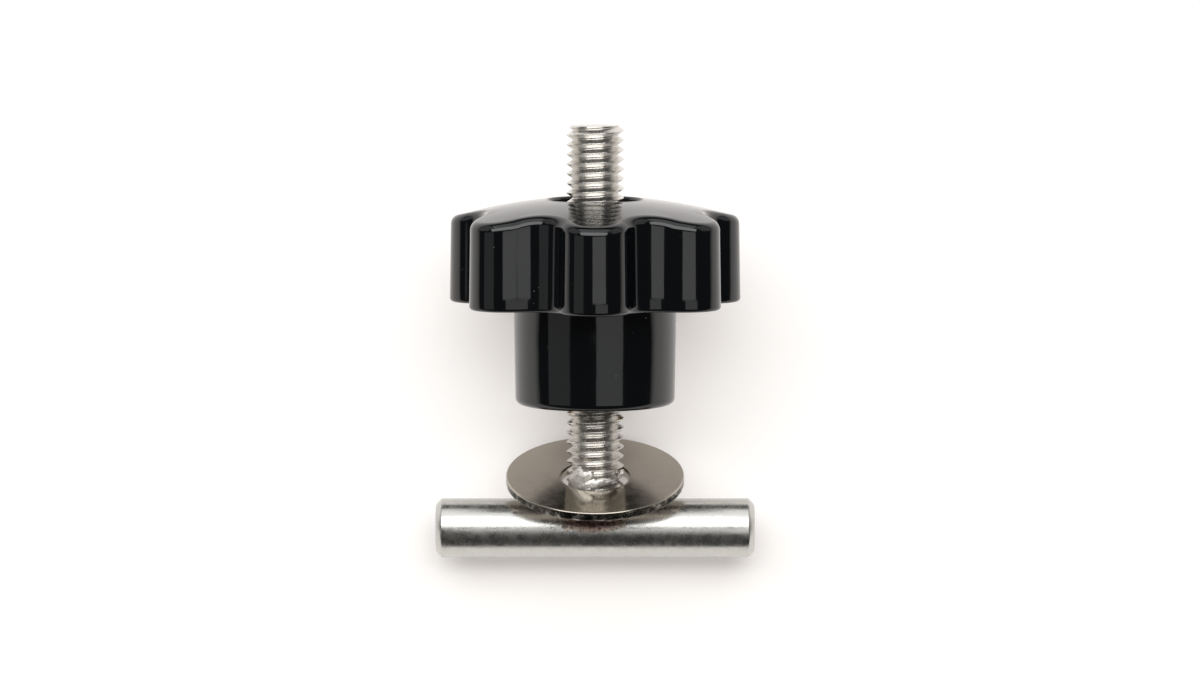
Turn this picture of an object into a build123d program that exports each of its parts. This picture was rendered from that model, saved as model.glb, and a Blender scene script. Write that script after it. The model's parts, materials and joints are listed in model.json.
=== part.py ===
from build123d import *
import os
from math import asin, atan2, cos, degrees, hypot, radians, sin

# T-bolt with a star knob, lying on a flat surface. Millimetres, +Z up.
# The bolt axis leans up towards +Y, the cross bar lies along X at the low end, and Z = 0 is the surface.
# Heights called "from the bar" are measured along the bolt axis, from the axis of the cross bar.

# Threaded stud: 3/8-16 UNC, drawn at its major diameter
stud_diameter = 9.525
stud_end = 66.8  # free end, from the bar
stud_chamfer = 0.8

# Cross bar
bar_diameter = 9.8
bar_length = 52.8
bar_chamfer = 1.0

# Fillet weld where the stud's coped foot meets the bar
weld_leg = 1.2
weld_foot = 2.5  # how low the weld runs down the bar's flanks, from the bar

# Dished washer, jammed askew on the stud
washer_diameter = 29.5
washer_thickness = 1.5
washer_dish = 0.8  # how far the hole lies below the rim
washer_edge_round = 0.25
washer_tilt = 18.2  # degrees, the edge on the lower side raised towards the knob
washer_height = 7.6  # centre of the rim's underside, from the bar
washer_clearance = 1.575  # hole over stud, on the diameter
washer_contact_gap = 0.05

# Star knob
lobe_count = 7
lobe_circle_radius = 18.7  # to the lobes' centres
lobe_radius = 5.9
valley_round = 5.4  # the valleys' own radius
head_bottom = 37.4  # underside of the head, from the bar
head_side = 13.85  # height of the lobes' flanks at the dome's rim
head_draft = 0.9  # degrees
head_bottom_round = 0.6
head_top_round = 1.6
dome_radius = 82.0
crown_hole_diameter = 15.4
crown_hole_depth = 8.0
crown_hole_round = 0.5
hub_bottom = 20.75  # underside of the hub, from the bar
hub_top_diameter = 26.9
hub_bottom_diameter = 26.4
hub_bottom_round = 1.1

# Threaded insert moulded into the knob
insert_diameter = 14.0
insert_recess = 0.6  # below the hub's underside
insert_collar_diameter = 17.0
insert_collar_height = 4.0
insert_chamfer = 0.5
thread_clearance = 0.05  # radial, insert on stud
insert_clearance = 0.05  # insert in knob

# Radii and heights that follow
stud_radius = stud_diameter / 2
bar_radius = bar_diameter / 2
washer_radius = washer_diameter / 2
washer_hole_radius = stud_radius + washer_clearance / 2
crown_hole_radius = crown_hole_diameter / 2
insert_radius = insert_diameter / 2
collar_radius = insert_collar_diameter / 2
knob_radius = lobe_circle_radius + lobe_radius
tilt = radians(washer_tilt)

# The weld reaches round the stud even where the stud is the wider of the two
weld_reach = max(bar_radius, stud_radius) + weld_leg

# A valley is an arc that runs into the lobes on both sides of it without a corner
half_pitch = 180 / lobe_count
lobe_overhang = lobe_circle_radius * cos(radians(half_pitch))
lobe_half_gap = lobe_circle_radius * sin(radians(half_pitch))
valley_centre = lobe_overhang + ((lobe_radius + valley_round) ** 2 - lobe_half_gap**2) ** 0.5
valley_radius = valley_centre - valley_round

# The dome is a cap of a sphere that starts at the lobes' tips
dome_sag = dome_radius - (dome_radius**2 - knob_radius**2) ** 0.5
crown = head_bottom + head_side + dome_sag
insert_top = crown - crown_hole_depth
insert_bottom = hub_bottom + insert_recess
collar_bottom = (insert_bottom + insert_top - insert_collar_height) / 2

# The raised edge of the washer's hole bears on the lower side of the stud
washer_bore_top = washer_thickness - washer_dish
washer_shift = (
    stud_radius + washer_contact_gap - washer_hole_radius * cos(tilt) + washer_bore_top * sin(tilt)
)

# Contact with the surface, in the plane across the bar: (away from the axis towards the surface, from the bar)
lobe_angles = [-90 + 360 * lobe / lobe_count for lobe in range(lobe_count)]
lowest_lobe = lobe_circle_radius * max(sin(radians(angle)) for angle in lobe_angles)
head_rim = (lowest_lobe + lobe_radius - head_bottom_round, head_bottom + head_bottom_round)
rim_reach = washer_radius - washer_edge_round
washer_rim = (
    washer_shift + rim_reach * cos(tilt) - washer_edge_round * sin(tilt),
    washer_height + rim_reach * sin(tilt) + washer_edge_round * cos(tilt),
)


def lean_on(rim, rim_round):
    """Lean of the bolt when it lies on the head's lower lobes and on a rounded rim nearer the bar."""
    across = head_rim[0] - rim[0]
    along = head_rim[1] - rim[1]
    return atan2(across, along) - asin((rim_round - head_bottom_round) / hypot(across, along))


# Of the bar and the washer, the one that gives the flatter lean is the one that touches
lean = min(lean_on((0, 0), bar_radius), lean_on(washer_rim, washer_edge_round))
bar_height = head_rim[0] * cos(lean) - head_rim[1] * sin(lean) + head_bottom_round
back_reach = stud_end * cos(lean) + (stud_radius - stud_chamfer) * sin(lean)
bar_place = Vector(0, (bar_radius - back_reach) / 2, bar_height)

# Planes: across the bolt, across the bar, and along the bolt with local X as radius and local Y as height
bolt = Plane(origin=bar_place, x_dir=(1, 0, 0), z_dir=(0, cos(lean), sin(lean)))
across_bar = Plane(origin=bar_place, x_dir=(0, 1, 0), z_dir=(1, 0, 0))
along_bolt = Plane(origin=bar_place, x_dir=(1, 0, 0), z_dir=-bolt.y_dir)
bolt_axis = Axis(bar_place, bolt.z_dir)
washer_seat = Plane(bolt.location * Location((0, washer_shift, washer_height), (washer_tilt, 0, 0)))
along_washer = Plane(origin=washer_seat.origin, x_dir=(1, 0, 0), z_dir=-washer_seat.y_dir)


def from_centre(radius, angle):
    """Point of a sketch at a radius and an angle in degrees."""
    return Vector(radius * cos(radians(angle)), radius * sin(radians(angle)))


with BuildPart() as cross_bar:
    with BuildSketch(across_bar):
        Circle(bar_radius)
    extrude(amount=bar_length / 2, both=True)
    chamfer(cross_bar.edges().filter_by(GeomType.CIRCLE), bar_chamfer)

with BuildPart() as threaded_stud:
    with BuildSketch(bolt):
        Circle(stud_radius)
    extrude(amount=stud_end)
    chamfer(threaded_stud.faces().sort_by(bolt_axis)[-1].edges(), stud_chamfer)
    # The foot is coped to sit astride the bar
    with BuildSketch(across_bar):
        Circle(bar_radius)
    extrude(amount=bar_length / 2, both=True, mode=Mode.SUBTRACT)

with BuildPart() as weld_bead:
    with BuildSketch(bolt.offset(weld_foot)):
        Circle(stud_radius + weld_leg)
    extrude(amount=weld_reach - weld_foot)
    with BuildSketch(across_bar):
        Circle(weld_reach)
    extrude(amount=bar_length / 2, both=True, mode=Mode.INTERSECT)
    with BuildSketch(across_bar):
        Circle(bar_radius)
    extrude(amount=bar_length / 2, both=True, mode=Mode.SUBTRACT)
    with BuildSketch(bolt):
        Circle(stud_radius)
    extrude(amount=stud_end, mode=Mode.SUBTRACT)

# Half way out, a dish of even curvature has come up this share of its depth
washer_mid_radius = (washer_radius + washer_hole_radius) / 2
mid_rise = (washer_mid_radius**2 - washer_hole_radius**2) / (washer_radius**2 - washer_hole_radius**2)
mid_height = washer_dish * (mid_rise - 1)

with BuildPart() as dished_washer:
    with BuildSketch(along_washer):
        with BuildLine():
            ThreePointArc(
                (washer_hole_radius, -washer_dish), (washer_mid_radius, mid_height), (washer_radius, 0)
            )
            Line((washer_radius, 0), (washer_radius, washer_thickness))
            ThreePointArc(
                (washer_radius, washer_thickness),
                (washer_mid_radius, mid_height + washer_thickness),
                (washer_hole_radius, washer_bore_top),
            )
            Line((washer_hole_radius, washer_bore_top), (washer_hole_radius, -washer_dish))
        make_face()
    revolve(axis=Axis(washer_seat.origin, washer_seat.z_dir))
    fillet(dished_washer.edges().filter_by(GeomType.CIRCLE), washer_edge_round)

with BuildPart() as star_knob:
    # Head: the lobed outline, drawn in upwards by the mould's draft
    with BuildSketch(bolt.offset(head_bottom)):
        with BuildLine():
            for angle in lobe_angles:
                lobe = from_centre(lobe_circle_radius, angle)
                valley_before = from_centre(valley_centre, angle - half_pitch)
                valley_after = from_centre(valley_centre, angle + half_pitch)
                next_lobe = from_centre(lobe_circle_radius, angle + 2 * half_pitch)
                share = lobe_radius / (lobe_radius + valley_round)
                lobe_start = lobe + (valley_before - lobe) * share
                lobe_end = lobe + (valley_after - lobe) * share
                next_start = next_lobe + (valley_after - next_lobe) * share
                ThreePointArc(lobe_start, from_centre(knob_radius, angle), lobe_end)
                ThreePointArc(lobe_end, from_centre(valley_radius, angle + half_pitch), next_start)
        make_face()
    extrude(amount=crown - head_bottom, taper=head_draft)
    fillet(star_knob.faces().sort_by(bolt_axis)[0].edges(), head_bottom_round)
    # Dome over the top
    with BuildSketch(along_bolt):
        with Locations((0, crown - dome_radius)):
            Circle(dome_radius)
        Rectangle(2 * dome_radius, 4 * dome_radius, align=(Align.MIN, Align.CENTER), mode=Mode.INTERSECT)
    revolve(axis=bolt_axis, mode=Mode.INTERSECT)
    fillet(star_knob.faces().sort_by(bolt_axis)[-1].edges(), head_top_round)
    # Hub, drawn in downwards
    with BuildSketch(along_bolt):
        with BuildLine():
            Polyline(
                (0, hub_bottom),
                (hub_bottom_diameter / 2, hub_bottom),
                (hub_top_diameter / 2, head_bottom),
                (hub_top_diameter / 2, head_bottom + head_side / 2),
                (0, head_bottom + head_side / 2),
                close=True,
            )
        make_face()
    revolve(axis=bolt_axis)
    fillet(star_knob.faces().sort_by(bolt_axis)[0].edges(), hub_bottom_round)
    # Seat of the insert
    with BuildSketch(bolt.offset(hub_bottom)):
        Circle(insert_radius + insert_clearance)
    extrude(amount=crown - hub_bottom, mode=Mode.SUBTRACT)
    with BuildSketch(bolt.offset(collar_bottom - insert_clearance)):
        Circle(collar_radius + insert_clearance)
    extrude(amount=insert_collar_height + 2 * insert_clearance, mode=Mode.SUBTRACT)
    # Hole in the crown, down to the insert's top
    with BuildSketch(bolt.offset(insert_top)):
        Circle(crown_hole_radius)
    extrude(amount=2 * crown_hole_depth, mode=Mode.SUBTRACT)
    crown_edges = star_knob.edges().filter_by(GeomType.CIRCLE).sort_by(bolt_axis)
    fillet(crown_edges[-1], crown_hole_round)

with BuildPart() as threaded_insert:
    with BuildSketch(bolt.offset(insert_bottom)):
        Circle(insert_radius)
    extrude(amount=insert_top - insert_bottom)
    chamfer(threaded_insert.faces().sort_by(bolt_axis)[-1].edges(), insert_chamfer)
    chamfer(threaded_insert.faces().sort_by(bolt_axis)[0].edges(), insert_chamfer)
    with BuildSketch(bolt.offset(collar_bottom)):
        Circle(collar_radius)
    extrude(amount=insert_collar_height)
    with BuildSketch(bolt.offset(insert_bottom)):
        Circle(stud_radius + thread_clearance)
    extrude(amount=insert_top - insert_bottom, mode=Mode.SUBTRACT)

cross_bar.part.label = "cross_bar"
threaded_stud.part.label = "threaded_stud"
weld_bead.part.label = "weld_bead"
dished_washer.part.label = "dished_washer"
star_knob.part.label = "star_knob"
threaded_insert.part.label = "threaded_insert"

os.makedirs("parts", exist_ok=True)
export_step(cross_bar.part, "parts/cross_bar.step")
export_step(threaded_stud.part, "parts/threaded_stud.step")
export_step(weld_bead.part, "parts/weld_bead.step")
export_step(dished_washer.part, "parts/dished_washer.step")
export_step(star_knob.part, "parts/star_knob.step")
export_step(threaded_insert.part, "parts/threaded_insert.step")

print("lean of the bolt, degrees:", round(degrees(lean), 3))
print("bar axis at:", tuple(round(value, 4) for value in bar_place))
print("bolt axis direction:", tuple(round(value, 6) for value in bolt.z_dir))
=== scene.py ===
"""Studio scene of a T-bolt with a star knob: meshes and finishes around its frame.

Every mesh is worked out in the bolt's own space, in millimetres: X along the cross bar, U away from
the bolt towards the surface that it lies on, and V along the bolt from the axis of the cross bar.
"""

import json
import logging
import math
from dataclasses import dataclass, field
from enum import Enum
from typing import Any, Callable, Iterable

import bmesh
import bpy
from mathutils import Matrix, Vector, noise


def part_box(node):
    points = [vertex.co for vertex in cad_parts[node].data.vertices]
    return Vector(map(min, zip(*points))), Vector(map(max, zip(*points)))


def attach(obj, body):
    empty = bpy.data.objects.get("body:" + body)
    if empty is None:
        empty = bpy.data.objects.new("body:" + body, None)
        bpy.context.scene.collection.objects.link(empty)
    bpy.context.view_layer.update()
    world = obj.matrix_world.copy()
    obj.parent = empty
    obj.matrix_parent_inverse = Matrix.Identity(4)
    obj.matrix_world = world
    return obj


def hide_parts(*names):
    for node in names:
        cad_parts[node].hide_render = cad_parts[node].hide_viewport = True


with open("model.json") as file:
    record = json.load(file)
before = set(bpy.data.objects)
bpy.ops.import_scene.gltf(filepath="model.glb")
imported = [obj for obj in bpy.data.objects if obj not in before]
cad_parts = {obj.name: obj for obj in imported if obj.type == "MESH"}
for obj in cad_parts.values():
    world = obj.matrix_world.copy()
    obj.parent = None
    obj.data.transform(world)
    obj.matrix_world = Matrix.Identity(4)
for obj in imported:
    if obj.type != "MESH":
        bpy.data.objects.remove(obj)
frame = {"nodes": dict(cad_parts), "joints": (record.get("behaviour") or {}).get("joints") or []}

log = logging.getLogger("t_bolt")
MM = 0.001
TAU = math.tau

Point = tuple[float, float, float]
Profile = list[tuple[float, float]]
Colour = tuple[float, float, float, float]


class Body(Enum):
    """Bodies of the frame that a piece can ride on."""

    T_BOLT = "t_bolt"
    KNOB = "knob"


class Shading(Enum):
    """Angle in degrees above which an edge stays sharp."""

    ROUND = 60.0
    MACHINED = 32.0
    THREAD = 38.0


# ---------------------------------------------------------------------------------------------
# Bolt space
# ---------------------------------------------------------------------------------------------


class BoltSpace:
    """The bolt's own axes, read from the frame."""

    def __init__(self) -> None:
        """Takes the origin from the cross bar and the direction from the knob's hinge."""
        low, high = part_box("cross_bar")
        turn = next(joint for joint in frame["joints"] if joint["name"] == "knob_turn")
        self.origin = (Vector(low) + Vector(high)) / 2
        self.along = Vector(turn["axis"]).normalized()
        self.across = Vector((1.0, 0.0, 0.0))
        self.down = self.along.cross(self.across)

    def place(self, point: Iterable[float]) -> Vector:
        """World position in metres.

        Args:
            point: X, U and V in millimetres.

        Returns:
            The same point on the frame's axes.
        """
        x, u, v = point
        return self.origin + (self.across * x + self.down * u + self.along * v) * MM

    def turn(self, vector: Iterable[float]) -> Vector:
        """World direction of a vector given as X, U and V."""
        x, u, v = vector
        return (self.across * x + self.down * u + self.along * v).normalized()

    def rotation(self) -> Matrix:
        """Rotation from bolt space to the frame's axes."""
        return Matrix((self.across, self.down, self.along)).transposed()


SPACE = BoltSpace()


# ---------------------------------------------------------------------------------------------
# Node and colour helpers
# ---------------------------------------------------------------------------------------------


def linear(srgb: str, alpha: float = 1.0) -> Colour:
    """Turns an sRGB hex colour to linear.

    Args:
        srgb: Six hex digits.
        alpha: Opacity.

    Returns:
        Linear red, green, blue and alpha.
    """
    parts = [int(srgb[i : i + 2], 16) / 255 for i in (0, 2, 4)]
    red, green, blue = [c / 12.92 if c <= 0.04045 else ((c + 0.055) / 1.055) ** 2.4 for c in parts]
    return red, green, blue, alpha


def add_node(tree: bpy.types.NodeTree, kind: str, settings: dict[str, Any], links: dict[str, Any]) -> Any:
    """Adds a node with its settings and links.

    Args:
        tree: Tree that gets the node.
        kind: Blender's name of the node type.
        settings: Node properties by name, and input values by "in:NAME" or "in:INDEX".
        links: Output sockets by the name or index of the input that they feed.

    Returns:
        The new node.
    """
    node = tree.nodes.new(kind)
    for name, value in settings.items():
        if name.startswith("in:"):
            key = name[3:]
            node.inputs[int(key) if key.isdigit() else key].default_value = value
        else:
            setattr(node, name, value)
    for name, socket in links.items():
        tree.links.new(socket, node.inputs[int(name) if name.isdigit() else name])
    return node


def set_ramp(node: Any, stops: list[tuple[float, Colour]]) -> Any:
    """Sets a colour ramp's stops and returns its colour output."""
    ramp = node.color_ramp
    while len(ramp.elements) > 1:
        ramp.elements.remove(ramp.elements[-1])
    ramp.elements[0].position, ramp.elements[0].color = stops[0]
    for place, colour in stops[1:]:
        ramp.elements.new(place).color = colour
    return node.outputs["Color"]


def grey(level: float) -> Colour:
    """A neutral linear colour."""
    return level, level, level, 1.0


@dataclass(frozen=True)
class Finish:
    """A surface finish: a Principled shader with a colour, a roughness and a relief of its own."""

    name: str
    base: str
    roughness: float
    metallic: float = 1.0

    def make(self) -> bpy.types.Material:
        """Builds the material.

        Returns:
            The material, ready for a slot.
        """
        material = bpy.data.materials.new(self.name)
        material.use_nodes = True
        tree = material.node_tree
        tree.nodes.clear()
        shader = add_node(
            tree,
            "ShaderNodeBsdfPrincipled",
            {
                "in:Base Color": linear(self.base),
                "in:Roughness": self.roughness,
                "in:Metallic": self.metallic,
            },
            {},
        )
        add_node(tree, "ShaderNodeOutputMaterial", {}, {"Surface": shader.outputs["BSDF"]})
        place = add_node(tree, "ShaderNodeTexCoord", {}, {}).outputs["Object"]
        self.dress(tree, shader, place)
        return material

    def dress(self, tree: bpy.types.NodeTree, shader: Any, place: Any) -> None:
        """Adds the patterns of the finish.

        Args:
            tree: The material's node tree.
            shader: Its Principled shader.
            place: Position on the piece, in metres.
        """

    def pattern(self, tree: bpy.types.NodeTree, place: Any, size_mm: float, **settings: Any) -> Any:
        """Noise whose grain has a real size.

        Args:
            tree: The material's node tree.
            place: Position on the piece, in metres.
            size_mm: Size of one grain in millimetres.
            **settings: Other inputs of the noise, by name with underscores for spaces.

        Returns:
            The noise's output, from 0 to 1.
        """
        values = {"in:" + key.replace("_", " "): value for key, value in settings.items()}
        values["in:Scale"] = 1.0 / (size_mm * MM)
        return add_node(tree, "ShaderNodeTexNoise", values, {"Vector": place}).outputs["Fac"]

    def relief(self, tree: bpy.types.NodeTree, shader: Any, height: Any, depth_mm: float) -> None:
        """Adds bump of a real depth to the shader, on top of any bump that it has."""
        links = {"Height": height}
        if shader.inputs["Normal"].is_linked:
            links["Normal"] = shader.inputs["Normal"].links[0].from_socket
        bump = add_node(tree, "ShaderNodeBump", {"in:Distance": depth_mm * MM, "in:Strength": 1.0}, links)
        tree.links.new(bump.outputs["Normal"], shader.inputs["Normal"])

    def vary(self, tree: bpy.types.NodeTree, shader: Any, amount: Any, low: float, high: float) -> None:
        """Drives the roughness between two values by an amount from 0 to 1."""
        spread = add_node(
            tree,
            "ShaderNodeMapRange",
            {"in:To Min": low, "in:To Max": high, "in:From Min": 0.3, "in:From Max": 0.7},
            {"Value": amount},
        )
        tree.links.new(spread.outputs["Result"], shader.inputs["Roughness"])


# ---------------------------------------------------------------------------------------------
# Finishes
# ---------------------------------------------------------------------------------------------


@dataclass(frozen=True)
class DrawnStainlessRod(Finish):
    """Stainless steel rod, cold drawn and left satin: soft bands of light with fine lengthwise streaks."""

    streak_mm: float = 0.12
    streak_length: float = 40.0
    mottle_mm: float = 1.6
    mark_centre: Point = (-0.5, -4.6, 1.4)  # in bolt space
    mark_reach: Point = (6.667, 1.923, 1.923)  # millimetres, longer along the bar

    def dress(self, tree: bpy.types.NodeTree, shader: Any, place: Any) -> None:
        """Adds drawing streaks, mottling, and the soot and heat tint that the weld left."""
        stretched = add_node(
            tree, "ShaderNodeMapping", {"in:Scale": (1 / self.streak_length, 1.0, 1.0)}, {"Vector": place}
        )
        streaks = self.pattern(tree, stretched.outputs["Vector"], self.streak_mm, Detail=3.0)
        mottle = self.pattern(tree, place, self.mottle_mm, Detail=6.0, Roughness=0.65)
        self.vary(tree, shader, mottle, self.roughness - 0.07, self.roughness + 0.09)
        self.relief(tree, shader, streaks, 0.0016)
        self.relief(tree, shader, mottle, 0.004)
        tint = self.weld_marks(tree, place)
        tree.links.new(tint, shader.inputs["Base Color"])

    def weld_marks(self, tree: bpy.types.NodeTree, place: Any) -> Any:
        """Straw and violet heat tint beside the weld, and dark specks of soot under the washer.

        Args:
            tree: The material's node tree.
            place: Position on the piece, in metres.

        Returns:
            The colour of the surface.
        """
        weld = SPACE.place(self.mark_centre)
        away = add_node(
            tree,
            "ShaderNodeVectorMath",
            {"operation": "SUBTRACT", "in:1": weld},
            {"0": place},
        )
        narrowed = add_node(
            tree,
            "ShaderNodeVectorMath",
            {"operation": "MULTIPLY", "in:1": [1 / (reach * MM) for reach in self.mark_reach]},
            {"0": away.outputs["Vector"]},
        )
        distance = add_node(
            tree, "ShaderNodeVectorMath", {"operation": "LENGTH"}, {"0": narrowed.outputs["Vector"]}
        )
        ragged = self.pattern(tree, place, 0.9, Detail=5.0, Roughness=0.7)
        blurred = add_node(
            tree,
            "ShaderNodeMath",
            {"operation": "MULTIPLY_ADD", "in:1": 0.9, "in:2": -0.35},
            {"0": ragged},
        )
        edge = add_node(
            tree,
            "ShaderNodeMath",
            {"operation": "ADD"},
            {"0": distance.outputs["Value"], "1": blurred.outputs["Value"]},
        )
        heat = set_ramp(
            add_node(tree, "ShaderNodeValToRGB", {}, {"Fac": edge.outputs["Value"]}),
            [
                (0.30, linear("8C6F6A")),
                (0.62, linear("A48C84")),
                (0.85, linear("ADA294")),
                (1.0, linear(self.base)),
            ],
        )
        specks = self.pattern(tree, place, 0.55, Detail=8.0, Roughness=0.75)
        reach = add_node(
            tree,
            "ShaderNodeMapRange",
            {"in:From Min": 0.3, "in:From Max": 2.6, "in:To Min": 0.20, "in:To Max": -0.12},
            {"Value": distance.outputs["Value"]},
        )
        soot = add_node(
            tree,
            "ShaderNodeMath",
            {"operation": "ADD"},
            {"0": specks, "1": reach.outputs["Result"]},
        )
        sooty = set_ramp(
            add_node(tree, "ShaderNodeValToRGB", {}, {"Fac": soot.outputs["Value"]}),
            [(0.66, grey(0.0)), (0.76, grey(0.85))],
        )
        mixed = add_node(
            tree,
            "ShaderNodeMix",
            {"data_type": "RGBA", "in:7": linear("2A2725")},
            {"0": sooty, "6": heat},
        )
        return mixed.outputs[2]


@dataclass(frozen=True)
class RolledThread(Finish):
    """Stainless thread, rolled: bright burnished flanks, a little dull in the roots."""

    grain_mm: float = 0.25

    def dress(self, tree: bpy.types.NodeTree, shader: Any, place: Any) -> None:
        """Adds burnishing that varies along the flanks."""
        grain = self.pattern(tree, place, self.grain_mm, Detail=4.0, Roughness=0.6)
        self.vary(tree, shader, grain, self.roughness - 0.04, self.roughness + 0.06)
        self.relief(tree, shader, grain, 0.0025)


@dataclass(frozen=True)
class WeldMetal(Finish):
    """Stainless weld metal as it froze: frosty, pale and lumpy."""

    def dress(self, tree: bpy.types.NodeTree, shader: Any, place: Any) -> None:
        """Adds frost of crystals and small craters."""
        frost = self.pattern(tree, place, 0.22, Detail=8.0, Roughness=0.8)
        craters = add_node(
            tree, "ShaderNodeTexVoronoi", {"in:Scale": 1 / (0.6 * MM)}, {"Vector": place}
        ).outputs["Distance"]
        self.vary(tree, shader, frost, self.roughness - 0.12, self.roughness + 0.15)
        self.relief(tree, shader, frost, 0.07)
        self.relief(tree, shader, craters, 0.05)


@dataclass(frozen=True)
class PressedWasherFace(Finish):
    """Stainless strip, pressed to a dish and barrelled: nearly mirror-smooth, with a warm grey cast."""

    def dress(self, tree: bpy.types.NodeTree, shader: Any, place: Any) -> None:
        """Adds faint handling marks that only show where light grazes."""
        marks = self.pattern(tree, place, 2.2, Detail=7.0, Roughness=0.7)
        self.vary(tree, shader, marks, self.roughness - 0.04, self.roughness + 0.07)
        fine = self.pattern(tree, place, 0.3, Detail=4.0)
        self.relief(tree, shader, fine, 0.0012)


@dataclass(frozen=True)
class ShearedEdge(Finish):
    """The washer's blanked edge: torn steel with burnished patches."""

    def dress(self, tree: bpy.types.NodeTree, shader: Any, place: Any) -> None:
        """Adds torn streaks, dark pits and bright burrs."""
        torn = self.pattern(tree, place, 0.35, Detail=8.0, Roughness=0.8)
        patches = self.pattern(tree, place, 1.7, Detail=4.0, Roughness=0.6)
        mixed = add_node(
            tree,
            "ShaderNodeMath",
            {"operation": "MULTIPLY_ADD", "in:1": 0.5},
            {"0": torn, "2": patches},
        ).outputs["Value"]
        colour = set_ramp(
            add_node(tree, "ShaderNodeValToRGB", {}, {"Fac": mixed}),
            [(0.66, linear("2B2926")), (0.80, linear(self.base)), (0.93, linear("C9C4BA"))],
        )
        tree.links.new(colour, shader.inputs["Base Color"])
        self.vary(tree, shader, torn, self.roughness - 0.15, self.roughness + 0.15)
        self.relief(tree, shader, torn, 0.06)


@dataclass(frozen=True)
class GlossPhenolic(Finish):
    """Black phenolic, compression moulded in a polished tool: deep black under a hard clear gloss."""

    ior: float = 1.5

    def dress(self, tree: bpy.types.NodeTree, shader: Any, place: Any) -> None:
        """Adds the faint ripple of the moulding and a few specks of dust."""
        shader.inputs["IOR"].default_value = self.ior
        ripple = self.pattern(tree, place, 5.0, Detail=2.0)
        self.relief(tree, shader, ripple, 0.02)
        smears = self.pattern(tree, place, 6.0, Detail=5.0, Roughness=0.6)
        self.vary(tree, shader, smears, self.roughness - 0.02, self.roughness + 0.05)
        dust = self.pattern(tree, place, 0.5, Detail=2.0)
        specks = set_ramp(
            add_node(tree, "ShaderNodeValToRGB", {}, {"Fac": dust}),
            [(0.775, linear(self.base)), (0.80, linear("8E8F90"))],
        )
        tree.links.new(specks, shader.inputs["Base Color"])


@dataclass(frozen=True)
class TurnedBrass(Finish):
    """Free-cutting brass, turned: fine feed marks round the axis."""

    feed_mm: float = 0.12

    def dress(self, tree: bpy.types.NodeTree, shader: Any, place: Any) -> None:
        """Adds feed marks and a little tarnish."""
        turned = add_node(
            tree,
            "ShaderNodeMapping",
            {"vector_type": "POINT", "in:Rotation": SPACE.rotation().inverted().to_euler()},
            {"Vector": place},
        )
        marks = add_node(
            tree,
            "ShaderNodeTexWave",
            {"bands_direction": "Z", "in:Scale": 1 / (self.feed_mm * MM) / 20, "in:Distortion": 0.3},
            {"Vector": turned.outputs["Vector"]},
        ).outputs["Fac"]
        tarnish = self.pattern(tree, place, 2.0, Detail=5.0)
        self.vary(tree, shader, tarnish, self.roughness - 0.08, self.roughness + 0.12)
        self.relief(tree, shader, marks, 0.01)


# ---------------------------------------------------------------------------------------------
# Mesh helpers
# ---------------------------------------------------------------------------------------------


def piece_from_mesh(
    name: str, mesh: bmesh.types.BMesh, shading: Shading, to_world: Callable[[Vector], Vector]
) -> bpy.types.Object:
    """Makes a scene object from a mesh in a piece's own space.

    Args:
        name: Name of the piece.
        mesh: Mesh in millimetres, freed here.
        shading: Angle above which edges stay sharp.
        to_world: Turns a point of the mesh into a world position in metres.

    Returns:
        The new object.
    """
    for vertex in mesh.verts:
        vertex.co = to_world(vertex.co)
    bmesh.ops.recalc_face_normals(mesh, faces=mesh.faces)
    data = bpy.data.meshes.new(name)
    mesh.to_mesh(data)
    mesh.free()
    data.shade_smooth()
    data.set_sharp_from_angle(angle=math.radians(shading.value))
    piece = bpy.data.objects.new(name, data)
    bpy.context.scene.collection.objects.link(piece)
    return piece


def grid(rows: list[list[Point]], closed_rows: bool) -> bmesh.types.BMesh:
    """Mesh of quads between rings of points.

    Args:
        rows: Rings with the same number of points, each ring closed.
        closed_rows: True if the last ring joins the first, False if both ends are capped.

    Returns:
        The mesh.
    """
    mesh = bmesh.new()
    rings = [[mesh.verts.new(point) for point in row] for row in rows]
    count = len(rings[0])
    pairs = list(zip(rings, rings[1:]))
    if closed_rows:
        pairs.append((rings[-1], rings[0]))
    for low, high in pairs:
        for i in range(count):
            j = (i + 1) % count
            mesh.faces.new((low[i], low[j], high[j], high[i]))
    if not closed_rows:
        mesh.faces.new(list(reversed(rings[0])))
        mesh.faces.new(rings[-1])
    return mesh


def lathe(profile: Profile, segments: int, closed: bool) -> bmesh.types.BMesh:
    """Mesh turned round the third axis.

    Args:
        profile: Radius and height of each ring.
        segments: Points in each ring.
        closed: True for a ring-shaped solid, False for one that reaches the axis.

    Returns:
        The mesh.
    """
    angles = [TAU * i / segments for i in range(segments)]
    rows = [[(r * math.cos(a), r * math.sin(a), h) for a in angles] for r, h in profile]
    return grid(rows, closed)


def arc(centre: tuple[float, float], radius: float, start: float, end: float, steps: int) -> Profile:
    """Points of an arc in a profile.

    Args:
        centre: Radius and height of the arc's centre.
        radius: The arc's radius.
        start: First angle in degrees, from the outward direction.
        end: Last angle in degrees.
        steps: Number of intervals.

    Returns:
        The points, both ends included.
    """
    turns = [math.radians(start + (end - start) * i / steps) for i in range(steps + 1)]
    return [(centre[0] + radius * math.cos(t), centre[1] + radius * math.sin(t)) for t in turns]


def blend(start: float, end: float, share: float) -> float:
    """Value at a share of the way between two."""
    return start + (end - start) * share


def dress(piece: bpy.types.Object, body: Body, slot: str, *finishes: Finish) -> None:
    """Gives a piece its finishes and its body."""
    for finish in finishes:
        piece.data.materials.append(finish.make())
    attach(piece, body.value)
    log.info("%s: %d faces", piece.name, len(piece.data.polygons))


# ---------------------------------------------------------------------------------------------
# Sub-assemblies
# ---------------------------------------------------------------------------------------------


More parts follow.
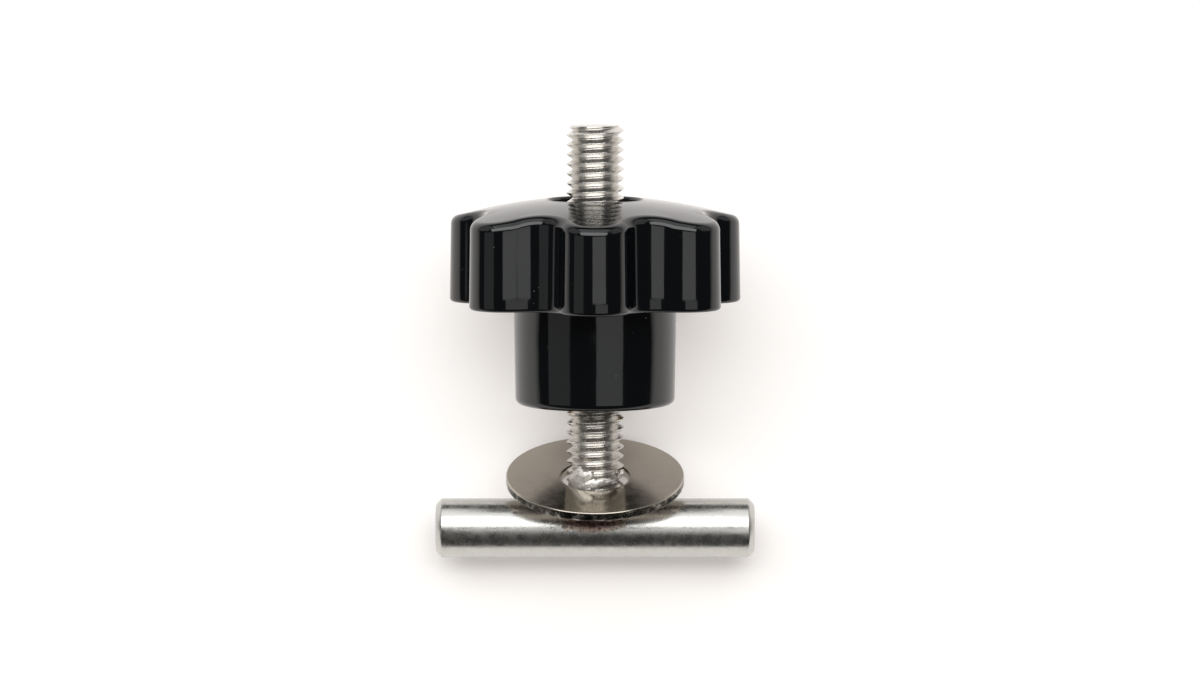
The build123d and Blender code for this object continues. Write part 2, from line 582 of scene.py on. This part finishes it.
@dataclass
class WeldedBolt:
    """Cross bar, threaded stud and the weld between them."""

    bar_radius: float = 4.9
    bar_length: float = 52.8
    bar_chamfer: float = 1.0
    bar_edge_round: float = 0.18
    stud_radius: float = 4.7625
    stud_end: float = 66.8
    stud_chamfer: float = 0.8
    stud_start: float = 2.4
    pitch: float = 25.4 / 16
    thread_depth: float = 0.974
    crest_share: float = 0.045  # half the flat crest, as a share of the pitch
    root_share: float = 0.43  # where the root begins, as a share of the pitch from the crest
    crest_crown: float = 0.02
    root_corner: float = 0.05
    crest_at: float = 65.2  # height of a crest on the -X side
    bead_radius: float = 0.95
    bead_out: float = 0.25  # how far the bead's centre lies outside the stud
    bead_floor: float = 2.6  # lowest that the bead follows the bar's side, from its axis
    segments: int = 96
    rod: Finish = field(default_factory=lambda: DrawnStainlessRod("drawn_stainless_rod", "C4C3BF", 0.27))
    thread: Finish = field(default_factory=lambda: RolledThread("rolled_stainless_thread", "D6D3CE", 0.27))
    weld: Finish = field(default_factory=lambda: WeldMetal("frosty_weld_metal", "D6D3CD", 0.38))

    def build(self) -> None:
        """Builds and dresses the three pieces."""
        self.build_bar()
        self.build_stud()
        self.build_weld()

    def build_bar(self) -> None:
        """The round bar, with its chamfers a little broken at the corners."""
        half, edge = self.bar_length / 2, self.bar_edge_round
        face, cone = self.bar_radius - self.bar_chamfer, half - self.bar_chamfer
        end = [(face - edge, half), (face, half - edge * 0.3), (face + edge, half - edge)]
        end += [(self.bar_radius - edge * 0.8, cone + edge * 0.9)]
        end += [(self.bar_radius - edge * 0.2, cone + edge * 0.2)]
        end += [(self.bar_radius, cone - edge)]
        stations = [blend(cone - edge, -cone + edge, i / 12) for i in range(1, 12)]
        centre = [(0.02, half), (face * 0.5, half)]
        top = centre + end
        profile = top + [(self.bar_radius, x) for x in stations] + [(r, -x) for r, x in reversed(top)]
        mesh = lathe(profile, 192, closed=False)
        piece = piece_from_mesh(
            "cross_bar_rod",
            mesh,
            Shading.MACHINED,
            lambda co: SPACE.place((co.z, co.x, co.y)),
        )
        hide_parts("cross_bar")
        dress(piece, Body.T_BOLT, "bar_steel", self.rod)

    def thread_radius(self, turn: float) -> float:
        """Radius of the thread at a share of a pitch from the crest, 0 to 1."""
        from_crest = abs((turn + 0.5) % 1.0 - 0.5)
        crest, root = self.crest_share, self.root_share
        if from_crest <= crest:
            return self.stud_radius - self.crest_crown * (from_crest / crest)
        if from_crest >= root:
            return self.stud_radius - self.thread_depth
        share = (from_crest - crest) / (root - crest)
        return self.stud_radius - blend(self.crest_crown, self.thread_depth - self.root_corner, share)

    def build_stud(self) -> None:
        """The stud, with its rolled right-hand thread as a true helix."""
        stations = (0.0, 0.045, 0.14, 0.24, 0.34, 0.43, 0.5, 0.57, 0.66, 0.76, 0.86, 0.955)
        first = math.floor(self.stud_start / self.pitch) - 2
        last = math.ceil(self.stud_end / self.pitch) + 2
        turns = [k + s for k in range(first, last) for s in stations]
        phase = (self.crest_at / self.pitch) % 1.0
        angles = [TAU * i / self.segments for i in range(self.segments + 1)]
        mesh = bmesh.new()
        columns = []
        for angle in angles:
            column = [mesh.verts.new((0.0, 0.0, self.stud_start))]
            for turn in turns:
                height = (turn + (angle / TAU - 0.5) + phase) * self.pitch
                radius = self.thread_radius(turn)
                chamfer = self.stud_radius - max(0.0, height - self.stud_end + self.stud_chamfer)
                radius = min(radius, max(chamfer, self.stud_radius - self.stud_chamfer))
                if height > self.stud_end + self.pitch / 4:
                    radius = 0.0
                height = min(max(height, self.stud_start), self.stud_end)
                column.append(
                    mesh.verts.new((radius * math.cos(angle), radius * math.sin(angle), height))
                )
            column.append(mesh.verts.new((0.0, 0.0, self.stud_end)))
            columns.append(column)
        for left, right in zip(columns, columns[1:]):
            for i in range(len(left) - 1):
                mesh.faces.new((left[i], right[i], right[i + 1], left[i + 1]))
        bmesh.ops.remove_doubles(mesh, verts=mesh.verts, dist=1e-4)
        bmesh.ops.dissolve_degenerate(mesh, edges=mesh.edges, dist=1e-4)
        piece = piece_from_mesh("stud_thread", mesh, Shading.THREAD, SPACE.place)
        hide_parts("threaded_stud")
        dress(piece, Body.T_BOLT, "thread_steel", self.thread)

    def build_weld(self) -> None:
        """The bead round the stud's foot, and the lump and smears of metal that climb the thread."""
        mesh = bmesh.new()
        count, around = 120, 14
        rings = []
        for i in range(count):
            angle = TAU * i / count
            wobble = noise.noise(Vector((math.cos(angle) * 2.1, math.sin(angle) * 2.1, 3.7)))
            bead = self.bead_radius + 0.25 * wobble
            reach = self.stud_radius + self.bead_out
            across = reach * math.sin(angle)
            height = math.sqrt(max(self.bar_radius**2 - across**2, self.bead_floor**2)) + 0.15
            ring = []
            for j in range(around):
                t = TAU * j / around
                lump = 1.0 + 0.22 * noise.noise(Vector((reach * math.cos(angle), across, t * 1.3)) * 1.1)
                r = reach + bead * lump * math.cos(t)
                h = height + bead * lump * math.sin(t)
                ring.append(mesh.verts.new((r * math.cos(angle), r * math.sin(angle), h)))
            rings.append(ring)
        for low, high in zip(rings, rings[1:] + rings[:1]):
            for j in range(around):
                k = (j + 1) % around
                mesh.faces.new((low[j], low[k], high[k], high[j]))
        self.add_lump(mesh, angle=-125.0, height=8.3, width=2.5, rise=2.0, proud=0.55, seed=1.0)
        self.add_lump(mesh, angle=-103.0, height=7.6, width=1.9, rise=1.1, proud=0.50, seed=5.0)
        self.add_lump(mesh, angle=-78.0, height=8.2, width=2.0, rise=0.65, proud=0.32, seed=9.0)
        self.add_lump(mesh, angle=-22.0, height=9.5, width=0.45, rise=0.5, proud=0.40, seed=13.0)
        piece = piece_from_mesh("weld_fillet", mesh, Shading.ROUND, SPACE.place)
        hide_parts("weld_bead")
        dress(piece, Body.T_BOLT, "weld_metal", self.weld)

    def add_lump(
        self,
        mesh: bmesh.types.BMesh,
        angle: float,
        height: float,
        width: float,
        rise: float,
        proud: float,
        seed: float,
    ) -> None:
        """Adds a lump of weld metal that hugs the stud.

        Args:
            mesh: Mesh that gets the lump.
            angle: Where it sits round the stud, in degrees from +X.
            height: Its centre, from the bar.
            width: Half its width round the stud.
            rise: Half its height.
            proud: How far it stands out of the thread's crests.
            seed: Makes its shape its own.
        """
        made = bmesh.ops.create_icosphere(mesh, subdivisions=4, radius=1.0)
        sunk = 0.8
        for vertex in made["verts"]:
            co = vertex.co.copy()
            rough = 1.0 + 0.30 * noise.noise(co * 1.5 + Vector((seed, 0.0, 0.0)))
            rough += 0.16 * noise.noise(co * 4.0 + Vector((0.0, seed, 0.0)))
            turn = math.radians(angle) + co.x * rough * width / self.stud_radius
            out = self.stud_radius + (proud * min(rough, 1.05) * co.y if co.y > 0 else sunk * co.y)
            level = height + co.z * rough * rise + 0.35 * co.x * rise
            vertex.co = Vector((out * math.cos(turn), out * math.sin(turn), level))


@dataclass
class JammedWasher:
    """Dished washer, askew on the stud."""

    radius: float = 14.75
    hole_radius: float = 5.55
    thickness: float = 1.5
    dish: float = 0.4  # shallower than the solid's, so that the front half mirrors the dark hub
    edge_round: float = 0.25
    tilt: float = 18.2
    height: float = 7.6
    shift: float = -0.241
    tear_depth: float = 0.07
    corner_rows: int = 5  # rows of the top corner, which keep the face's finish
    face: Finish = field(default_factory=lambda: PressedWasherFace("pressed_washer_face", "ADA69B", 0.13))
    edge: Finish = field(default_factory=lambda: ShearedEdge("sheared_washer_edge", "5E5A54", 0.28))

    def face_height(self, radius: float) -> float:
        """Height of the underside at a radius; the dish curves evenly up to the rim."""
        share = (radius**2 - self.hole_radius**2) / (self.radius**2 - self.hole_radius**2)
        return self.dish * (share - 1.0)

    def to_world(self, co: Vector) -> Vector:
        """World position of a point in the washer's own space."""
        tilt = math.radians(self.tilt)
        u = self.shift + co.y * math.cos(tilt) - co.z * math.sin(tilt)
        v = self.height + co.y * math.sin(tilt) + co.z * math.cos(tilt)
        return SPACE.place((co.x, u, v))

    def build(self) -> None:
        """Builds and dresses the washer."""
        inner, outer, edge = self.hole_radius, self.radius, self.edge_round
        radii = [blend(inner + edge, outer - edge, i / 28) for i in range(29)]
        under = [(r, self.face_height(r)) for r in radii]
        over = [(r, self.face_height(r) + self.thickness) for r in reversed(radii)]
        low_in, high_in = self.face_height(inner), self.face_height(inner) + self.thickness
        rim = arc((outer - edge, edge), edge, -75, 0, 4)
        rim += [(outer, blend(edge, self.thickness - edge, i / 8)) for i in range(1, 8)]
        rim += arc((outer - edge, self.thickness - edge), edge, 0, 75, 4)
        hole = arc((inner + edge, high_in - edge), edge, 105, 180, 4)
        hole += arc((inner + edge, low_in + edge), edge, 180, 255, 4)
        profile = under + rim + over + hole
        segments = 256
        mesh = lathe(profile, segments, closed=True)
        mesh.faces.ensure_lookup_table()
        first, last = len(under) - 1, len(under) + len(rim)
        for row in range(first, last - self.corner_rows):
            for i in range(segments):
                mesh.faces[row * segments + i].material_index = 1
        mesh.verts.ensure_lookup_table()
        for row in range(first + 1, last - self.corner_rows):
            for i in range(segments):
                vertex = mesh.verts[row * segments + i]
                torn = noise.noise(vertex.co * 1.3) + 0.6 * noise.noise(vertex.co * 4.1)
                out = Vector((vertex.co.x, vertex.co.y, 0.0)).normalized()
                vertex.co -= out * self.tear_depth * max(0.0, torn + 0.15)
        piece = piece_from_mesh("washer_dish", mesh, Shading.MACHINED, self.to_world)
        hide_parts("dished_washer")
        dress(piece, Body.T_BOLT, "washer_steel", self.face, self.edge)


@dataclass
class StarKnob:
    """Lobed knob with its hub, and the brass insert that it is moulded on."""

    lobes: int = 7
    lobe_circle: float = 18.7
    lobe_radius: float = 5.9
    valley_round: float = 5.4
    head_bottom: float = 37.4
    head_side: float = 13.85
    head_draft: float = 0.9
    bottom_round: float = 0.6
    top_round: float = 1.6
    dome_radius: float = 82.0
    hole_radius: float = 7.7
    hole_depth: float = 8.0
    hole_round: float = 0.5
    hub_bottom: float = 20.75
    hub_top_radius: float = 13.45
    hub_foot_radius: float = 13.2
    hub_round: float = 1.1
    root_round: float = 0.5
    bore_radius: float = 7.05
    per_lobe: int = 64
    phenolic: Finish = field(
        default_factory=lambda: GlossPhenolic("gloss_black_phenolic", "07090B", 0.06, metallic=0.0)
    )
    brass: Finish = field(default_factory=lambda: TurnedBrass("turned_brass", "B8924E", 0.3))

    def __post_init__(self) -> None:
        """Works out the outline's valley arcs and the crown."""
        self.half = math.pi / self.lobes
        overhang = self.lobe_circle * math.cos(self.half)
        reach = self.lobe_radius + self.valley_round
        self.valley_centre = overhang + math.sqrt(reach**2 - (self.lobe_circle * math.sin(self.half)) ** 2)
        self.tip = self.lobe_circle + self.lobe_radius
        self.crown = self.head_bottom + self.head_side + self.sag(self.tip)

    def sag(self, radius: float) -> float:
        """How far the dome has dropped from its crown at a radius."""
        return self.dome_radius - math.sqrt(self.dome_radius**2 - radius**2)

    def outline(self) -> list[tuple[Vector, Vector]]:
        """Points of the head's outline with their outward normals.

        Returns:
            Pairs of a point and a unit normal, counter-clockwise.
        """
        valley_centre = Vector((math.cos(self.half), math.sin(self.half))) * self.valley_centre
        lobe_to_valley = valley_centre - Vector((self.lobe_circle, 0.0))
        half_lobe = math.atan2(lobe_to_valley.y, lobe_to_valley.x)
        half_valley = half_lobe - self.half
        on_lobe = round(self.per_lobe * 0.6)
        on_valley = self.per_lobe - on_lobe
        points = []
        for lobe in range(self.lobes):
            middle = -math.pi / 2 + TAU * lobe / self.lobes
            centre = Vector((math.cos(middle), math.sin(middle))) * self.lobe_circle
            for i in range(on_lobe):
                turn = middle + half_lobe * (2 * (i + 0.5) / on_lobe - 1)
                normal = Vector((math.cos(turn), math.sin(turn)))
                points.append((centre + normal * self.lobe_radius, normal))
            valley = middle + self.half
            centre = Vector((math.cos(valley), math.sin(valley))) * self.valley_centre
            for i in range(on_valley):
                turn = valley + half_valley * (1 - 2 * (i + 0.5) / on_valley)
                normal = Vector((math.cos(turn), math.sin(turn)))
                points.append((centre - normal * self.valley_round, normal))
        return points

    def head_rows(self, outline: list[tuple[Vector, Vector]]) -> list[list[Point]]:
        """Rings of the head, from the hub's root over the lobes to the crown's hole.

        Args:
            outline: The outline's points and normals.

        Returns:
            Rings of points from the bottom to the top.
        """
        root = self.hub_top_radius + self.root_round
        inward = self.bottom_round
        drafted = math.tan(math.radians(self.head_draft))
        underside, corner, sides, rounding, dome = 5, 6, 6, 10, 26  # steps across each stretch
        rows = []
        for i in range(underside):
            share = i / underside
            rows.append([self.between(p - n * inward, root, share, self.head_bottom) for p, n in outline])
        for i in range(corner + 1):
            turn = math.radians(90 * i / corner)
            offset = inward * (1 - math.sin(turn))
            height = self.head_bottom + self.bottom_round * (1 - math.cos(turn))
            rows.append([self.raised(p - n * offset, height) for p, n in outline])
        flank = []
        for point, normal in outline:
            offset = drafted * self.head_side
            inner = point - normal * (offset + self.top_round)
            top = self.crown - self.sag(inner.length)
            slope = -math.asin(min(1.0, inner.length / self.dome_radius)) * inner.normalized().dot(normal)
            flank.append((point, normal, top, slope))
        for i in range(1, sides):
            row = []
            for point, normal, top, _ in flank:
                height = blend(self.head_bottom + self.bottom_round, top - self.top_round, i / sides)
                row.append(self.raised(point - normal * drafted * (height - self.head_bottom), height))
            rows.append(row)
        for i in range(rounding + 1):
            row = []
            for point, normal, top, slope in flank:
                turn = (math.pi / 2 + slope) * i / rounding
                centre_height = top - self.top_round * math.cos(slope)
                offset = drafted * (centre_height - self.head_bottom) + self.top_round
                out = self.top_round * math.cos(turn)
                height = centre_height + self.top_round * math.sin(turn)
                row.append(self.raised(point - normal * (offset - out), height))
            rows.append(row)
        last = [(Vector((x, y)), z) for x, y, z in rows[-1]]
        edge = self.hole_radius + self.hole_round
        for i in range(1, dome + 1):
            share = i / dome
            row = []
            for point, height in last:
                target = point.normalized() * edge
                flat = point.lerp(target, share)
                miss = height - (self.crown - self.sag(point.length))
                row.append(self.raised(flat, self.crown - self.sag(flat.length) + miss * (1 - share) ** 6))
            rows.append(row)
        return rows

    def between(self, point: Vector, radius: float, share: float, height: float) -> Point:
        """Point between a circle and the outline, level with the head's underside."""
        return self.raised((point.normalized() * radius).lerp(point, share), height)

    @staticmethod
    def raised(point: Vector, height: float) -> Point:
        """A point of the outline's plane at a height."""
        return point.x, point.y, height

    def bore_profile(self) -> Profile:
        """Profile from the crown's hole down through the bore and round the hub."""
        top = self.crown - self.sag(self.hole_radius)
        floor = self.crown - self.hole_depth
        foot, low = self.hub_foot_radius, self.hub_bottom
        corner = (self.hole_radius + self.hole_round, top - self.hole_round)
        profile = arc(corner, self.hole_round, 100, 180, 5)
        profile += [(self.hole_radius, blend(top - self.hole_round, floor, i / 4)) for i in range(1, 5)]
        profile += [(self.bore_radius + 0.02, floor), (self.bore_radius, floor - 0.02)]
        profile += [(self.bore_radius, blend(floor, low, i / 6)) for i in range(1, 6)]
        profile += [(self.bore_radius, low + 0.3), (self.bore_radius + 0.3, low)]
        profile += [(blend(self.bore_radius + 0.3, foot - self.hub_round, i / 3), low) for i in range(1, 3)]
        profile += arc((foot - self.hub_round, low + self.hub_round), self.hub_round, -90, 0, 10)
        high = self.head_bottom - self.root_round
        for i in range(1, 5):
            radius = blend(foot, self.hub_top_radius, i / 4)
            profile.append((radius, blend(low + self.hub_round, high, i / 4)))
        profile += arc((self.hub_top_radius + self.root_round, high), self.root_round, 180, 105, 4)[1:]
        return profile

    def build(self) -> None:
        """Builds and dresses the knob and its insert."""
        outline = self.outline()
        rows = self.head_rows(outline)
        turns = [math.atan2(point.y, point.x) for point, _ in outline]
        for radius, height in self.bore_profile():
            rows.append([(radius * math.cos(t), radius * math.sin(t), height) for t in turns])
        mesh = grid(rows, closed_rows=True)
        piece = piece_from_mesh("star_knob_moulding", mesh, Shading.ROUND, SPACE.place)
        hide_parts("star_knob")
        dress(piece, Body.KNOB, "knob_plastic", self.phenolic)
        insert = frame["nodes"]["threaded_insert"]
        insert.data.materials.clear()
        insert.data.materials.append(self.brass.make())
        log.info("%s: %d faces", insert.name, len(insert.data.polygons))


# ---------------------------------------------------------------------------------------------
# Studio
# ---------------------------------------------------------------------------------------------


@dataclass(frozen=True)
class Softbox:
    """An area light placed by its direction from the bolt, in bolt space."""

    name: str
    azimuth: float  # degrees towards +X, from the side that faces the camera
    elevation: float  # degrees towards the stud's free end
    distance: float  # metres
    size: tuple[float, float]  # metres
    radiance: float

    def place(self, target: Vector) -> None:
        """Adds the light, aimed at the target."""
        azimuth, elevation = math.radians(self.azimuth), math.radians(self.elevation)
        direction = SPACE.turn(
            (
                math.sin(azimuth) * math.cos(elevation),
                -math.cos(azimuth) * math.cos(elevation),
                math.sin(elevation),
            )
        )
        light = bpy.data.lights.new(self.name, "AREA")
        light.shape = "RECTANGLE"
        light.size, light.size_y = self.size
        # A Lambertian panel of this area and radiance gives this power
        light.energy = self.radiance * math.pi * self.size[0] * self.size[1]
        lamp = bpy.data.objects.new(self.name, light)
        bpy.context.scene.collection.objects.link(lamp)
        lamp.location = target + direction * self.distance
        side = SPACE.along.cross(direction).normalized()
        facing = Matrix((side, direction.cross(side), direction)).transposed()
        lamp.rotation_mode = "QUATERNION"
        lamp.rotation_quaternion = facing.to_quaternion()


@dataclass
class Studio:
    """Pale floor, soft light and the camera."""

    view_height: float = 31.72  # height on the bolt that the camera looks at, from the bar
    view_side: float = 0.81  # millimetres that it looks to the right of the bolt's axis
    camera_elevation: float = 5.6  # above the bolt's perpendicular plane
    camera_distance: float = 800.0
    lens: float = 145.2
    floor_size: float = 6.0
    painted_pool_edge: float = 0.17  # metres from the middle to where the floor's painted pool of light starts to fade
    painted_pool_end: float = 0.42
    lit_tint: Colour = (1.06, 1.055, 1.05, 1.0)
    shadow_tint: Colour = (1.08, 1.01, 0.96, 1.0)  # colour of the painted fill glow that lifts the floor's shadows, a little warm
    room_light: float = 0.05
    painted_far_floor: float = 0.55  # brightness of the floor beyond the painted pool of light, a painted darkening
    painted_fill_share: float = 0.45  # share of the floor's brightness from the painted fill glow, which open shadows don't take
    painted_contact_mm: float = 6.0  # how near a thing must be to take that share too, as painted contact shade

    def build(self) -> None:
        """Builds the stage."""
        self.build_floor()
        self.build_world()
        self.build_lights()
        self.build_camera()
        bpy.context.scene.view_settings.view_transform = "Standard"

    def build_floor(self) -> None:
        """A pale matt floor that the lens sees as white, with the object's shadow on it. For the lens and
        reflections it has a painted pool of light that fades away from the middle, and a painted fill glow
        that lifts its shadows, held back near the object as painted contact shade.
        """
        mesh = bmesh.new()
        bmesh.ops.create_grid(mesh, x_segments=1, y_segments=1, size=self.floor_size / 2)
        data = bpy.data.meshes.new("floor")
        mesh.to_mesh(data)
        mesh.free()
        floor = bpy.data.objects.new("floor", data)
        bpy.context.scene.collection.objects.link(floor)
        material = bpy.data.materials.new("pale_floor_painted_pool_and_fill")
        material.use_nodes = True
        tree = material.node_tree
        tree.nodes.clear()
        seen = self.seen_directly(tree)
        place = add_node(tree, "ShaderNodeTexCoord", {}, {}).outputs["Object"]
        away = add_node(tree, "ShaderNodeVectorMath", {"operation": "LENGTH"}, {"0": place})
        # Painted pool of light: the floor's colour for the lens and reflections fades from the middle
        # outwards.
        painted_pool_falloff = add_node(
            tree,
            "ShaderNodeMapRange",
            {
                "in:From Min": self.painted_pool_edge,
                "in:From Max": self.painted_pool_end,
                "in:To Min": 1.0,
                "in:To Max": self.painted_far_floor,
            },
            {"Value": away.outputs["Value"]},
        ).outputs["Result"]
        matt = add_node(tree, "ShaderNodeBsdfDiffuse", {"in:Color": grey(0.80)}, {})
        painted_pool_colour = add_node(
            tree,
            "ShaderNodeMix",
            {"data_type": "RGBA", "blend_type": "MULTIPLY", "in:0": 1.0, "in:6": self.lit_tint},
            {"7": painted_pool_falloff},
        ).outputs[2]
        bright = add_node(tree, "ShaderNodeBsdfDiffuse", {}, {"Color": painted_pool_colour})
        # Painted contact shade: ambient occlusion holds back the painted fill glow near the object.
        painted_contact_reach = {"in:Distance": self.painted_contact_mm * MM}
        painted_contact_shade_ao = add_node(tree, "ShaderNodeAmbientOcclusion", painted_contact_reach, {})
        painted_fill_strength = add_node(
            tree,
            "ShaderNodeMath",
            {"operation": "MULTIPLY"},
            {"0": painted_contact_shade_ao.outputs["AO"], "1": painted_pool_falloff},
        )
        # Painted fill light: the floor glows for the lens and reflections, lifting its shadows.
        painted_fill_glow = add_node(
            tree,
            "ShaderNodeEmission",
            {"in:Color": self.shadow_tint},
            {"Strength": painted_fill_strength.outputs["Value"]},
        )
        floor_with_painted_fill = add_node(
            tree,
            "ShaderNodeMixShader",
            {"in:0": self.painted_fill_share},
            {"1": bright.outputs["BSDF"], "2": painted_fill_glow.outputs["Emission"]},
        )
        shown = add_node(
            tree,
            "ShaderNodeMixShader",
            {},
            {"0": seen, "1": matt.outputs["BSDF"], "2": floor_with_painted_fill.outputs["Shader"]},
        )
        add_node(tree, "ShaderNodeOutputMaterial", {}, {"Surface": shown.outputs["Shader"]})
        data.materials.append(material)

    def seen_directly(self, tree: bpy.types.NodeTree) -> Any:
        """Output that is 1 for what the lens, a reflection or clear material sees."""
        path = add_node(tree, "ShaderNodeLightPath", {}, {})
        first = add_node(
            tree,
            "ShaderNodeMath",
            {"operation": "MAXIMUM"},
            {"0": path.outputs["Is Camera Ray"], "1": path.outputs["Is Glossy Ray"]},
        )
        both = add_node(
            tree,
            "ShaderNodeMath",
            {"operation": "MAXIMUM"},
            {"0": first.outputs["Value"], "1": path.outputs["Is Transmission Ray"]},
        )
        return both.outputs["Value"]

    def build_world(self) -> None:
        """A dim even room, so that gloss stays dark between the softboxes."""
        world = bpy.data.worlds.new("studio")
        bpy.context.scene.world = world
        world.use_nodes = True
        tree = world.node_tree
        tree.nodes.clear()
        room = add_node(
            tree,
            "ShaderNodeBackground",
            {"in:Color": (1.0, 0.985, 0.965, 1.0), "in:Strength": self.room_light},
            {},
        )
        add_node(tree, "ShaderNodeOutputWorld", {}, {"Surface": room.outputs["Background"]})

    def build_lights(self) -> None:
        """One broad softbox over the free end, and strips that draw the gloss."""
        target = SPACE.place((0.0, 0.0, 35.0))
        for softbox in (
            Softbox("overhead_softbox", -4.0, 29.0, 0.9, (1.55, 0.56), 3.6),
            Softbox("overhead_fill", -4.0, 66.0, 0.9, (1.1, 0.62), 1.3),
            Softbox("left_fill", -78.0, 36.0, 1.0, (0.7, 0.8), 0.6),
            Softbox("right_fill", 78.0, 36.0, 1.0, (0.7, 0.8), 0.6),
            Softbox("front_panel", 13.5, -1.5, 1.0, (0.76, 0.13), 1.25),
            Softbox("front_panel_foot", 21.0, -11.0, 1.0, (0.68, 0.19), 0.85),
            Softbox("left_panel", -53.0, -7.0, 1.0, (0.60, 0.36), 0.38),
        ):
            softbox.place(target)

    def build_camera(self) -> None:
        """The camera, with the bolt upright in the picture."""
        elevation = math.radians(self.camera_elevation)
        target = SPACE.place((self.view_side, 0.0, self.view_height))
        back = SPACE.turn((0.0, -math.cos(elevation), math.sin(elevation)))
        data = bpy.data.cameras.new("camera")
        data.lens = self.lens
        data.clip_start, data.clip_end = 0.01, 20.0
        camera = bpy.data.objects.new("camera", data)
        bpy.context.scene.collection.objects.link(camera)
        camera.location = target + back * self.camera_distance * MM
        side = Vector((1.0, 0.0, 0.0))
        camera.rotation_mode = "QUATERNION"
        camera.rotation_quaternion = Matrix((side, back.cross(side), back)).transposed().to_quaternion()
        bpy.context.scene.camera = camera


def main() -> None:
    """Builds the bolt, the washer, the knob and the studio."""
    logging.basicConfig(level=logging.INFO, format="%(name)s: %(message)s")
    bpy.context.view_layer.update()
    WeldedBolt().build()
    JammedWasher().build()
    StarKnob().build()
    Studio().build()


if __name__ == "__main__":
    main()
